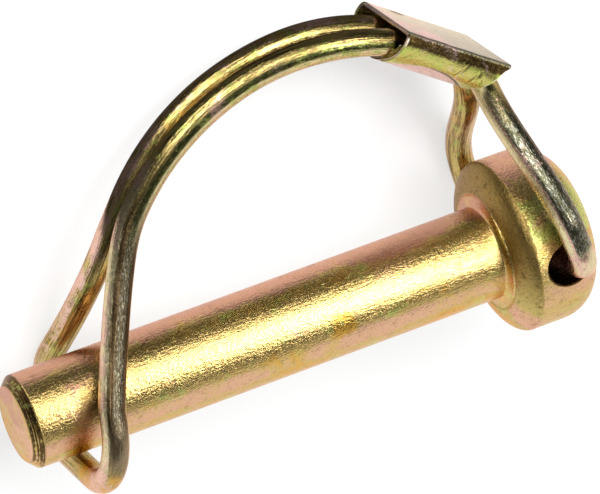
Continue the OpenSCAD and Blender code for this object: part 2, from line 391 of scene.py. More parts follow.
def pin_profile():
    """Half section from the middle of the tip to the middle of the head's back, as rows of X and radius."""
    face_r = SHANK_R + NECK_R
    neck_turn = np.radians(np.linspace(0, 90, 15))
    neck = np.column_stack([
        -NECK_RUN + NECK_RUN * np.sin(neck_turn),
        SHANK_R + (NECK_RING_R - SHANK_R) * (1 - np.cos(neck_turn)),
    ])
    dome_turn = np.radians(np.linspace(0, DOME_TURN, 25))
    end_turn = math.radians(DOME_TURN)
    dome = np.column_stack([
        HEAD_DOME * (1 - np.cos(dome_turn)) / (1 - math.cos(end_turn)),
        face_r + (HEAD_R - face_r) * np.sin(dome_turn) / math.sin(end_turn),
    ])
    dome = dome[dome[:, 1] > NECK_RING_R + 2 * NECK_GROOVE]
    groove_floor = [2 * NECK_GROOVE, NECK_RING_R + NECK_GROOVE]
    groove = softened([neck[-1], groove_floor, dome[0]], NECK_EASE, 0.1)
    back_turn = np.radians(np.linspace(0, 90, 25))
    back_corner = np.column_stack([
        HEAD_L - HEAD_BACK_R + HEAD_BACK_R * np.sin(back_turn),
        HEAD_R - HEAD_BACK_R + HEAD_BACK_R * np.cos(back_turn),
    ])
    tip = softened([
        [-SHANK_L, MIDDLE_R],
        [-SHANK_L, SHANK_R - TIP_CHAMFER],
        [TIP_CHAMFER - SHANK_L, SHANK_R],
        [-NECK_RUN, SHANK_R],
    ], TIP_EASE, 0.6)
    rim = softened([dome[-2], dome[-1], back_corner[0]], RIM_EASE, 0.4)
    end = along_polyline([back_corner[-1], [HEAD_L, MIDDLE_R]], 0.6)
    return np.vstack([tip, neck[1:], groove[1:], dome[1:-2], rim, back_corner[1:], end[1:]])


def turned(profile, sides):
    """Surface of revolution: row i, side k lies at (x, r cos a, r sin a) with a = k of the full turn."""
    angle = np.linspace(0, 2 * np.pi, sides, endpoint=False)
    x = np.repeat(profile[:, :1], sides, axis=1)
    points = np.stack([x, profile[:, 1:] * np.cos(angle), profile[:, 1:] * np.sin(angle)], axis=2)
    index, quads = rings(len(profile), sides)
    return points.reshape(-1, 3), quads + [index[0][::-1], index[-1]]


def new_piece(name, points, faces, crease):
    """A smooth-shaded mesh object in the frame, with edges steeper than the crease angle kept sharp."""
    mesh = bpy.data.meshes.new(name)
    mesh.from_pydata(lay_down(points).tolist(), [], faces)
    mesh.validate()
    smooth_over(mesh, crease)
    return placed(name, mesh)


def smooth_over(mesh, crease):
    """Shades a mesh smooth apart from edges that turn more than the crease angle."""
    mesh.shade_smooth()
    mesh.set_sharp_from_angle(angle=math.radians(crease))


def drilled(piece, drill, crease):
    """Cuts the drill's volume out of a piece and removes the drill."""
    cut = piece.modifiers.new("cross_hole", "BOOLEAN")
    cut.operation = "DIFFERENCE"
    cut.solver = "EXACT"
    cut.object = drill
    mesh = bpy.data.meshes.new_from_object(piece.evaluated_get(bpy.context.evaluated_depsgraph_get()))
    piece.modifiers.clear()
    piece.data = mesh
    bpy.data.objects.remove(drill)
    smooth_over(mesh, crease)
    return piece


pin_points, pin_faces = turned(pin_profile(), PIN_SIDES)
turned_pin = new_piece("turned_pin", pin_points, pin_faces, PIN_CREASE)
drill_half = np.array([
    [DRILL_HALF, MIDDLE_R], [DRILL_HALF, HOLE_MOUTH_R], [HOLE_MOUTH[0], HOLE_MOUTH_R], [HOLE_MOUTH[1], HOLE_R]
])
drill_points, drill_faces = turned(np.vstack([drill_half * [-1, 1], drill_half[::-1]]), DRILL_SIDES)
drill_points = np.column_stack([drill_points[:, 1] + HOLE_X, -drill_points[:, 2], -drill_points[:, 0]])
drilled(turned_pin, new_piece("drill", drill_points, drill_faces, PIN_CREASE), PIN_CREASE)


def times(tree, first, *others):
    """Masks multiplied together."""
    for other in others:
        first = maths(tree, "MULTIPLY", first, other)
    return first


def plus(tree, start, *parts):
    """A start with each part's mask added to it in that part's amount."""
    for mask, amount in parts:
        start = maths(tree, "MULTIPLY_ADD", mask, amount, start)
    return start


def outside(tree, mask):
    """1 where a mask is 0, and 0 where it is 1."""
    return maths(tree, "SUBTRACT", 1.0, mask)


def distance_from(tree, place, centre):
    """How far a place is from a centre, in millimetres."""
    return add(tree, "ShaderNodeVectorMath", {0: place, 1: centre}, operation="DISTANCE").outputs["Value"]


def noise(tree, vector, scale, detail=2.0, roughness=0.5, distortion=0.0):
    """Cloudy noise from 0 to 1 over a place given in millimetres."""
    return add(tree, "ShaderNodeTexNoise", {
        "Vector": vector, "Scale": scale, "Detail": detail, "Roughness": roughness, "Distortion": distortion
    }).outputs["Fac"]


def stretched(tree, vector, factors):
    """A place scaled by its own factor along each axis."""
    return add(tree, "ShaderNodeVectorMath", {0: vector, 1: factors}, operation="MULTIPLY").outputs[0]


def ramped(tree, value, low, high, to_low=0.0, to_high=1.0):
    """A smooth step between two values, which runs the other way where high is below low."""
    return add(tree, "ShaderNodeMapRange", {
        "Value": value, "From Min": low, "From Max": high, "To Min": to_low, "To Max": to_high
    }, interpolation_type="SMOOTHSTEP").outputs["Result"]


def within(tree, value, rise, fall):
    """1 between two smooth steps, each given as where it is 0 and where it is 1."""
    return times(tree, ramped(tree, value, *rise), ramped(tree, value, *fall))


def mixed(tree, factor, a, b):
    """Two colours mixed by a factor."""
    node = add(tree, "ShaderNodeMix", {"Factor": factor}, data_type="RGBA")
    for socket, value in ((node.inputs[6], a), (node.inputs[7], b)):
        if isinstance(value, bpy.types.NodeSocket):
            tree.links.new(value, socket)
        else:
            socket.default_value = value
    return node.outputs[2]


def effect(name, inputs, outputs):
    """An empty shader node group with named sockets; gives the group, its inputs and its output node."""
    group = bpy.data.node_groups.new(name, "ShaderNodeTree")
    for label, kind, value in inputs:
        socket = group.interface.new_socket(label, in_out="INPUT", socket_type=kind)
        if value is not None:
            socket.default_value = value
    for label, kind in outputs:
        group.interface.new_socket(label, in_out="OUTPUT", socket_type=kind)
    return group, group.nodes.new("NodeGroupInput").outputs, group.nodes.new("NodeGroupOutput").inputs


def passivate_film():
    """Yellow passivate: gold, clouded with amber, green and pink by the film's thickness, and dirt."""
    group, given, out = effect("passivate_film", [
        ("Place", "NodeSocketVector", None),
        ("Gold", "NodeSocketColor", (0.66, 0.48, 0.18, 1)),
        ("Pink", "NodeSocketColor", (0.78, 0.46, 0.34, 1)),
        ("Green", "NodeSocketColor", (0.58, 0.62, 0.18, 1)),
        ("Amber", "NodeSocketColor", (0.74, 0.42, 0.08, 1)),
        ("Pink Share", "NodeSocketFloat", 0.0),
        ("Green Share", "NodeSocketFloat", 0.0),
        ("Amber Share", "NodeSocketFloat", 0.0),
        ("Grime", "NodeSocketFloat", 0.3),
    ], [("Color", "NodeSocketColor"), ("Grime", "NodeSocketFloat")])
    place, colour = given["Place"], given["Gold"]
    clouds = noise(group, place, 0.16, 3.0, 0.6, 0.6)
    patches = noise(group, stretched(group, place, (1.0, 1.3, 0.8)), 0.42, 3.0, 0.6, 0.3)
    speck = maths(group, "MULTIPLY_ADD", noise(group, place, 2.6, 2.0, 0.6), 0.35, -0.175)
    for tint, cloud, thin, thick in (
        ("Amber", outside(group, clouds), 0.55, 0.80),
        ("Green", patches, 0.56, 0.78),
        ("Pink", clouds, 0.56, 0.80),
    ):
        film = maths(group, "ADD", maths(group, "ADD", cloud, given[tint + " Share"]), speck)
        colour = mixed(group, ramped(group, film, thin, thick), colour, given[tint])
    pits = ramped(group, noise(group, stretched(group, place, (0.6, 1.0, 1.0)), 4.0, 3.0, 0.6), 0.57, 0.66)
    dirt = plus(group, ramped(group, noise(group, place, 1.1, 5.0, 0.7), 0.52, 0.75), (pits, 0.6))
    dirt = maths(group, "MULTIPLY", dirt, given["Grime"], clamp=True)
    group.links.new(mixed(group, dirt, colour, FILM_DIRT), out["Color"])
    group.links.new(dirt, out["Grime"])
    return group


def tumbled_skin():
    """Height of a barrel-plated surface: fine grit, soft hollows and lengthwise marks, with rare nicks."""
    group, given, out = effect("tumbled_skin", [
        ("Place", "NodeSocketVector", None),
        ("Run", "NodeSocketVector", None),
        ("Grit", "NodeSocketFloat", 0.5),
        ("Hollows", "NodeSocketFloat", 0.5),
        ("Marks", "NodeSocketFloat", 0.5),
        ("Nicks", "NodeSocketFloat", 0.5),
    ], [("Height", "NodeSocketFloat"), ("Wear", "NodeSocketFloat")])
    lengthwise = stretched(group, given["Place"], (0.5, 1.0, 1.0))
    grit = noise(group, lengthwise, 4.6, 3.0, 0.65)
    hollows = noise(group, given["Place"], 0.9, 2.0, 0.5, 0.4)
    marks = noise(group, given["Run"], 1.0, 4.0, 0.65)
    cells = add(group, "ShaderNodeTexVoronoi", {"Vector": lengthwise, "Scale": 0.33})
    nicks = ramped(group, cells.outputs["Distance"], 0.05, 0.12, -1.0, 0.0)
    height = plus(
        group, maths(group, "MULTIPLY", grit, given["Grit"]),
        (hollows, given["Hollows"]), (marks, given["Marks"]), (nicks, given["Nicks"]),
    )
    group.links.new(height, out["Height"])
    group.links.new(ramped(group, grit, 0.35, 0.65), out["Wear"])
    return group


PASSIVATE_FILM = passivate_film()
TUMBLED_SKIN = tumbled_skin()


def new_metal(name, edge):
    """A material that is metal throughout, with a fixed tint at grazing angles."""
    material, tree, shader = new_material(name)
    shader.inputs["Metallic"].default_value = 1
    shader.inputs["Specular Tint"].default_value = (*edge, 1)
    return material, tree, shader


def plated(tree, shader, film, skin, roughness, wear, depth):
    """Lays the passivate film and the tumbled skin over the metal: their colour, roughness and bump."""
    film = add(tree, "ShaderNodeGroup", film, node_tree=PASSIVATE_FILM).outputs
    skin = add(tree, "ShaderNodeGroup", skin, node_tree=TUMBLED_SKIN).outputs
    tree.links.new(film["Color"], shader.inputs["Base Color"])
    worn = plus(tree, roughness, (skin["Wear"], 2 * wear), (film["Grime"], 0.3))
    tree.links.new(worn, shader.inputs["Roughness"])
    bump = add(tree, "ShaderNodeBump", {
        "Strength": 1.0, "Distance": depth * MILLIMETRE, "Height": skin["Height"]
    })
    tree.links.new(bump.outputs["Normal"], shader.inputs["Normal"])


def bench_place(tree):
    """Bench millimetres of a point: its Object coordinates turned back from the laid-down pose."""
    origin = lay_down(np.zeros(3))
    return add(tree, "ShaderNodeMapping", {
        "Vector": add(tree, "ShaderNodeTexCoord").outputs["Object"],
        "Location": tuple(origin), "Rotation": (REST_ROLL, REST_PITCH, 0), "Scale": (MILLIMETRE,) * 3,
    }, vector_type="TEXTURE").outputs["Vector"]


def pin_zones(tree):
    """Bench place, turn round the pin's axis in degrees from the near side, radius, and surface masks."""
    place = bench_place(tree)
    split = add(tree, "ShaderNodeSeparateXYZ", {0: place}).outputs
    x = split["X"]
    turn = maths(tree, "MULTIPLY", maths(tree, "ARCTAN2", split["Y"], split["Z"]), 180 / math.pi)
    radius = distance_from(tree, stretched(tree, place, (0, 1, 1)), (0, 0, 0))
    waver = maths(tree, "MULTIPLY_ADD", noise(tree, place, 1.2, 3.0, 0.6), 0.5, -0.25)
    ahead = ramped(tree, maths(tree, "ADD", x, waver), HEAD_DOME + 0.15, HEAD_DOME - 0.05)
    past_neck = ramped(tree, radius, NECK_RING_R + 0.15, NECK_RING_R + 0.45)
    domed = times(tree, past_neck, ahead, ramped(tree, x, -0.4, -0.1))
    tip = ramped(tree, x, 0.12 - SHANK_L, 0.06 - SHANK_L)
    behind_cone = ramped(tree, x, TIP_CHAMFER + 0.2 - SHANK_L, TIP_CHAMFER - SHANK_L)
    chamfer = times(tree, ramped(tree, x, 0.06 - SHANK_L, 0.2 - SHANK_L), behind_cone)
    head = ramped(tree, x, HEAD_DOME - 0.1, HEAD_DOME + 0.1)
    return place, turn, radius, domed, tip, chamfer, head


def pin_material():
    """Plated turned steel: marks along the shank, rings on the faces, a darker chamfer, a dome darkened as
    painted shade, painted shade in the cross hole, and pink flanks that are painted reflections.
    """
    material, tree, shader = new_metal("pin_plate", PIN_EDGE)
    place, turn, radius, domed, tip, chamfer, head = pin_zones(tree)
    shank = outside(tree, largest(tree, domed, head))
    low = times(tree, domed, ramped(tree, turn, *DOME_LIT_SIDE))
    bottom = times(tree, domed, ramped(tree, turn, *DOME_BOTTOM))
    # The inside of the cross hole is painted near black: painted shade in the recess
    bore = distance_from(tree, stretched(tree, place, (1, 1, 0)), (HOLE_X, 0, 0))
    bore_shade = ramped(tree, bore, HOLE_R + 0.2, HOLE_R + 0.05)
    lathe_rings = add(tree, "ShaderNodeCombineXYZ", {"X": maths(tree, "MULTIPLY", radius, 3.2)}).outputs[0]
    ringed = noise(tree, lathe_rings, 1.6, 3.0, 0.7)

    # A ragged dark band over most of the chamfer, strongest on its upper side
    ragged = plus(tree, maths(tree, "ADD", ringed, 0.225), (noise(tree, place, 1.8, 3.0, 0.6), -0.45))
    ragged = plus(tree, ragged, (ramped(tree, turn, 20, 60), -0.12))
    dark_band = times(tree, ramped(tree, turn, -75, -35, 0.15, 1), ramped(tree, ragged, 0.62, 0.50), chamfer)
    # The dome is painted dark olive as painted shade, and lighter lime on its lower side as painted light
    gold = mixed(tree, domed, PIN_GOLD, mixed(tree, low, PIN_DOME_SHADE, PIN_DOME_LIT_SIDE))
    gold = mixed(tree, largest(tree, bore_shade, dark_band), gold, PIN_DARK_AND_BORE_SHADE)

    # Pink on the upper and lower flanks is painted reflection of the pale floor and backdrop
    flank_reflection = plus(tree, ramped(tree, turn, *UPPER_FLANK_REFLECTION, 0, 0.34), (within(tree, turn, *LOWER_FLANK_REFLECTION), 0.24))
    flank_reflection = times(tree, flank_reflection, ramped(tree, radius, 2.0, 5.0), outside(tree, largest(tree, domed, chamfer)))
    pink_share = plus(
        tree, ramped(tree, maths(tree, "ABSOLUTE", turn), 130, 170, 0, -0.2),
        (flank_reflection, 1.0), (maths(tree, "SUBTRACT", domed, low), -0.3), (tip, plus(tree, -0.12, (ringed, 0.6))),
        (low, ramped(tree, turn, -20, -46, -0.1, 0.24)), (bottom, -0.45), (bore_shade, -0.5),
    )
    # The green patch on the head's rim is a painted reflection
    green_share = plus(
        tree, 0.02, (times(tree, head, within(tree, turn, *RIM_GREEN_REFLECTION)), 0.22),
        (chamfer, ramped(tree, turn, -50, -70, 0, 0.3)), (bore_shade, -0.4), (low, 0.3), (domed, -0.3),
    )
    stain = ramped(tree, distance_from(tree, place, PIN_STAIN), 0.6, 2.4, 0.3, 0)
    # Amber on the shank's lower side is painted reflection as well
    amber_share = plus(
        tree, stain, (bottom, 0.55), (shank, ramped(tree, turn, -26, -36, 0, 0.12)), (domed, -0.2)
    )
    film = {
        # The pink turns lighter rose on the lower side, as part of the flanks' painted reflection
        "Place": place, "Gold": gold, "Pink": mixed(tree, ramped(tree, turn, 20, 0), PIN_PINK, PIN_ROSE),
        "Pink Share": pink_share, "Green Share": green_share, "Amber Share": amber_share,
        # Extra dirt over the dome adds to its painted shade
        "Grime": plus(tree, 0.4, (domed, 0.5)),
    }

    run = add(tree, "ShaderNodeMix", {"Factor": largest(tree, tip, chamfer, domed)}, data_type="VECTOR")
    tree.links.new(stretched(tree, place, (0.35, 4.0, 4.0)), run.inputs[4])
    tree.links.new(lathe_rings, run.inputs[5])
    skin = {
        "Place": place, "Run": run.outputs[1], "Grit": plus(tree, FACE_GRIT, (shank, PIN_GRIT - FACE_GRIT)),
        "Hollows": 0.6, "Marks": plus(tree, PIN_MARKS, (chamfer, 1.5)), "Nicks": 0.5,
    }
    dull = plus(tree, PIN_ROUGHNESS, (domed, 0.13), (head, 0.06))
    plated(tree, shader, film, skin, dull, PIN_WEAR, PIN_DEPTH)
    return material


turned_pin.data.materials.clear()
turned_pin.data.materials.append(pin_material())
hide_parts("pin")
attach(turned_pin, "pin")

# ---------------------------------------------------------------------------------------------
# The bail: one length of drawn spring wire, bent to a loop that snaps under the shank near the
# tip, two strands side by side over the top, and two legs hooked into the head's cross hole.
# ---------------------------------------------------------------------------------------------
WIRE_R = 1.4
BAR_INSET = 6.05
BAR_GAP = 0.54
SIDE_GAP = 2.9
CORNER_R = 5.4
SPLAY = 30.0
CLOSE_L = 19.4
STRAND_GAP = 0.1
LOOP_SHIFT = 0.6
STRAND_DROP = 0.2
KNEE_PAST = 0.85
LOWER_LEAN = 12.3
STRAND_LEAN = 25.4
KNEE_R = 7.0
CROWN_R = 25.4
ARM_SLOPE = 20.3
LEG_BEND_BACK = 1.7
LEG_BEND_R = 6.0
FLARE_START = 1.1
FLARE_FOOT = 5.0
LEG_GAP = 0.7
HOOK_R = 2.0
HOOK_END = 3.0
HOOK_SKEW = 0.85
# The clip's size and place, because the wire's path runs through it
CLIP_L = 13.0
SHEET = 0.45
CLIP_FIT = 0.25
CLIP_STRAND_GAP = 1.7
CLIP_TILT = 35.2
CLIP_BACK = 6.18
CLIP_UP = 25.5
KNEE_STEPS = 12
CROWN_STEPS = 90
BEND_STEPS = 24
CORNER_STEPS = 50
VIEW_STEP = 0.3
SAME_POINT = 1e-6
WIRE_STEP = 0.22
WIRE_SIDES = 40
WIRE_CREASE = 40
WIRE_GOLD = (0.58, 0.44, 0.16, 1)
WIRE_SHADE = (0.10, 0.075, 0.025, 1)
# Pale yellow: painted reflections along the wire's edges and the crown's lower edge, and the elbow's colour
WIRE_PALE = (0.78, 0.68, 0.40, 1)
WIRE_BROWN = (0.15, 0.10, 0.05, 1)
WIRE_CHAR = (0.045, 0.03, 0.014, 1)
# Slate for the strand's middle, where the softbox reflects, is painted shade
WIRE_SLATE_SHADE = (0.055, 0.042, 0.025, 1)
WIRE_DUST = (0.25, 0.245, 0.18, 1)
WIRE_MOSS = (0.11, 0.105, 0.06, 1)
WIRE_FLECK = (0.40, 0.40, 0.33, 1)
# Dark green for a painted reflection band over the crown
WIRE_DARK_REFLECTION = (0.055, 0.075, 0.022, 1)
# A paler colour that lightens the loop's corner as painted light
WIRE_CORNER_LIGHT = (0.50, 0.37, 0.22, 1)
WIRE_GREEN = (0.42, 0.46, 0.12, 1)
WIRE_PINK = (0.78, 0.50, 0.40, 1)
WIRE_AMBER = (0.62, 0.36, 0.08, 1)
WIRE_EDGE = (1.0, 0.80, 0.74)
# Where each tint of the wire begins and is full, in millimetres along it from the bar's middle. The loop's
# corner is lightened as painted light, and the crown carries painted reflections.
BEND_TINT = ((2, 5), (13, 9))
STRAND_FILM = ((8.5, 12), (44, 32))
CORNER_LIGHT_ZONE = (15.5, 12.5)
CROWN_REFLECTIONS = (30, 40)
# The same, from the wire's end
LEG_FILM = (32, 24)
ELBOW_PALE = (10.9, 9.7)
# The same, in millimetres out from the wire's middle line: a dark band over the crown and a pink line along
# the leg's edge, both painted reflections
DARK_REFLECTION_BAND = ((0.52, 0.36), (-0.30, -0.10))
LEG_EDGE_REFLECTION = ((0.78, 0.84), (1.0, 0.93))
WIRE_ROUGHNESS = 0.10
WIRE_WEAR = 0.04
WIRE_DEPTH = 0.028


def heading(lean):
    """Unit direction in the side view that leans from straight up towards the head."""
    return np.array([math.sin(math.radians(lean)), math.cos(math.radians(lean))])


def crossing(p, u, q, v):
    """Where the line through p along u meets the line through q along v, by Cramer's rule."""
    return p + u * ((q[0] - p[0]) * v[1] - (q[1] - p[1]) * v[0]) / (u[0] * v[1] - u[1] * v[0])


def bend_arc(before, corner, after, radius, steps):
    """Arc tangent to both stretches at a corner: its start plus r sin a forward and r (1 - cos a) inward."""
    u, v = direction(corner - before), direction(after - corner)
    turn = math.acos(min(1, u @ v))
    inward = direction(v - u * (u @ v))
    a = np.linspace(0, turn, steps)[:, None]
    start = corner - u * radius * math.tan(turn / 2)
    return start + u * radius * np.sin(a) + inward * radius * (1 - np.cos(a))


def run_along(path):
    """Length of a path up to each of its points."""
    return np.append(0, np.cumsum(np.linalg.norm(np.diff(path, axis=0), axis=1)))


def ease(t):
    """Smooth rise from 0 to 1, half a cosine wave, flat before and after."""
    return (1 - np.cos(np.pi * np.clip(t, 0, 1))) / 2


lower_up = heading(LOWER_LEAN)
corner_turn = math.radians(90 + SPLAY)
corner_rise = CORNER_R * (1 - math.cos(corner_turn))
bar_at = np.array([BAR_INSET - SHANK_L, -(SHANK_R + BAR_GAP + WIRE_R)])
loop_start = bar_at + corner_rise * lower_up
knee_at = bar_at + (corner_rise + KNEE_PAST) * lower_up
knee_round = min(KNEE_R, KNEE_PAST / math.tan(math.radians(STRAND_LEAN - LOWER_LEAN) / 2))
clip_along = heading(90 + CLIP_TILT)
clip_out = heading(CLIP_TILT)
clip_top = np.array([HOLE_X - CLIP_BACK, CLIP_UP])
clip_core = clip_top - (SHEET + CLIP_FIT + WIRE_R) * clip_out
mouth_at = clip_core - CLIP_L / 2 * clip_along
leg_corner = clip_core + (CLIP_L / 2 - LEG_BEND_BACK) * clip_along
crown_at = crossing(knee_at, heading(STRAND_LEAN), mouth_at, heading(90 + ARM_SLOPE))
crown_turn = math.radians(90 - STRAND_LEAN + ARM_SLOPE)
crown_round = min(CROWN_R, np.linalg.norm(mouth_at - crown_at) / math.tan(crown_turn / 2))
touch_w = WIRE_R + STRAND_GAP / 2
clip_strand_w = WIRE_R + CLIP_STRAND_GAP / 2
leg_w = HEAD_R + LEG_GAP + WIRE_R
bar_half = SHANK_R + SIDE_GAP + WIRE_R - CORNER_R
corner_w = bar_half + CORNER_R * math.sin(corner_turn)
close_power = math.tan(math.radians(SPLAY)) * CLOSE_L / (corner_w - touch_w)


def side_view(hook_at):
    """Side view of one half, from its bottom corner to its hook: straight stretches joined by round bends."""
    foot = hook_at - HOOK_R * direction(hook_at - leg_corner)
    return np.vstack([
        loop_start,
        bend_arc(loop_start, knee_at, crown_at, knee_round, KNEE_STEPS),
        bend_arc(knee_at, crown_at, mouth_at, crown_round, CROWN_STEPS),
        mouth_at,
        bend_arc(mouth_at, leg_corner, hook_at, LEG_BEND_R, BEND_STEPS),
        foot,
    ])


def spread(s, mouth, leg, flare_l):
    """Half distance between the strands: a power law that closes until they touch, eased apart to the clip's
    width, and eased out again to the legs' width."""
    closing = touch_w + (corner_w - touch_w) * np.clip(1 - s / CLOSE_L, 0, 1) ** close_power
    open_from = (CLOSE_L + mouth) / 2
    in_clip = (clip_strand_w - touch_w) * ease((s - open_from) / (mouth - open_from))
    in_leg = (leg_w - clip_strand_w) * ease((s - leg) / flare_l)
    return closing + in_clip + in_leg


def half_wire(side):
    """Centre line of one half from beside the bar's middle to a hook's end, with the side view's normals."""
    hook_at = np.array([HOLE_X + side * HOOK_SKEW, 0])
    view = along_polyline(side_view(hook_at), VIEW_STEP)
    s = run_along(view)
    mouth = s[np.argmin(np.linalg.norm(view - mouth_at, axis=1))]
    leg = mouth + np.linalg.norm(leg_corner - mouth_at) + FLARE_START
    flare_l = np.linalg.norm(hook_at - leg_corner) - FLARE_START - FLARE_FOOT
    drop = np.where(
        (s > CLOSE_L) & (s < mouth), STRAND_DROP * np.sin(np.pi * (s - CLOSE_L) / (mouth - CLOSE_L)), 0
    )
    shift = -LOOP_SHIFT * np.clip(1 - s / CLOSE_L, 0, 1) ** 2
    out = side * spread(s, mouth, leg, flare_l) + shift
    strand = np.column_stack([view[:, 0], view[:, 1] - side * drop, out])
    turn = np.linspace(0, corner_turn, CORNER_STEPS)
    corner = bar_at + CORNER_R * (1 - np.cos(turn))[:, None] * lower_up
    corner = np.column_stack([corner, side * (bar_half + CORNER_R * np.sin(turn)) - LOOP_SHIFT])
    down = direction(hook_at - leg_corner)
    turn = np.linspace(0, np.pi / 2, BEND_STEPS)
    hook = view[-1] + HOOK_R * np.sin(turn)[:, None] * down
    hook = np.column_stack([hook, side * (leg_w - HOOK_R * (1 - np.cos(turn)))])
    end = np.array([[hook_at[0], hook_at[1], side * HOOK_END]])
    along = np.gradient(view, s, axis=0)
    along = np.vstack([np.tile(lower_up, (len(corner), 1)), along[1:], np.tile(down, (len(hook), 1))])
    path = np.vstack([corner, strand[1:], hook[1:], end])
    normal = np.column_stack([-along[:, 1], along[:, 0], np.zeros(len(along))])
    return path, normal / np.linalg.norm(normal, axis=1)[:, None]


def resampled(path, values, step):
    """The same curve at equal steps of its own length, with the values that go with its points."""
    keep = np.append(True, np.diff(run_along(path)) > SAME_POINT)
    path, values = path[keep], values[keep]
    s = run_along(path)
    t = np.linspace(0, s[-1], int(s[-1] / step) + 1)
    path, values = (np.column_stack([np.interp(t, s, row) for row in rows.T]) for rows in (path, values))
    return path, values, t


def swept_wire(path, normal, r, sides):
    """Tube round a path: p + r cos a e + r sin a f, with e the side view's normal and f square to it and the
    path. The section comes too, as (0, r cos a, r sin a)."""
    along = np.gradient(path, axis=0)
    along /= np.linalg.norm(along, axis=1)[:, None]
    e = normal - along * np.sum(normal * along, axis=1)[:, None]
    e /= np.linalg.norm(e, axis=1)[:, None]
    f = np.cross(along, e)
    a = np.linspace(0, 2 * np.pi, sides, endpoint=False)
    ring = np.cos(a)[None, :, None] * e[:, None, :] + np.sin(a)[None, :, None] * f[:, None, :]
    points = path[:, None, :] + r * ring
    index, quads = rings(len(path), sides)
    section = np.column_stack([np.zeros(sides), r * np.cos(a), r * np.sin(a)])
    return points.reshape(-1, 3), quads + [index[0][::-1], index[-1]], section


def keep_values(piece, name, kind, field, values):
    """Keeps a value at each of a piece's points for its material to read."""
    piece.data.attributes.new(name, kind, "POINT").data.foreach_set(field, values.ravel())


near_path, near_normal = half_wire(1)
far_path, far_normal = half_wire(-1)
wire_path, wire_normal, wire_s = resampled(
    np.vstack([near_path[::-1], far_path]), np.vstack([near_normal[::-1], far_normal]), WIRE_STEP
)
wire_points, wire_faces, wire_section = swept_wire(wire_path, wire_normal, WIRE_R, WIRE_SIDES)
wire_place = (wire_section[None] + wire_s[:, None, None] * np.array([1, 0, 0])).reshape(-1, 3)
spring_bail = new_piece("spring_bail", wire_points, wire_faces, WIRE_CREASE)
keep_values(spring_bail, "wire_run", "FLOAT_VECTOR", "vector", wire_place)
WIRE_MIDDLE = float(wire_s[-1]) / 2


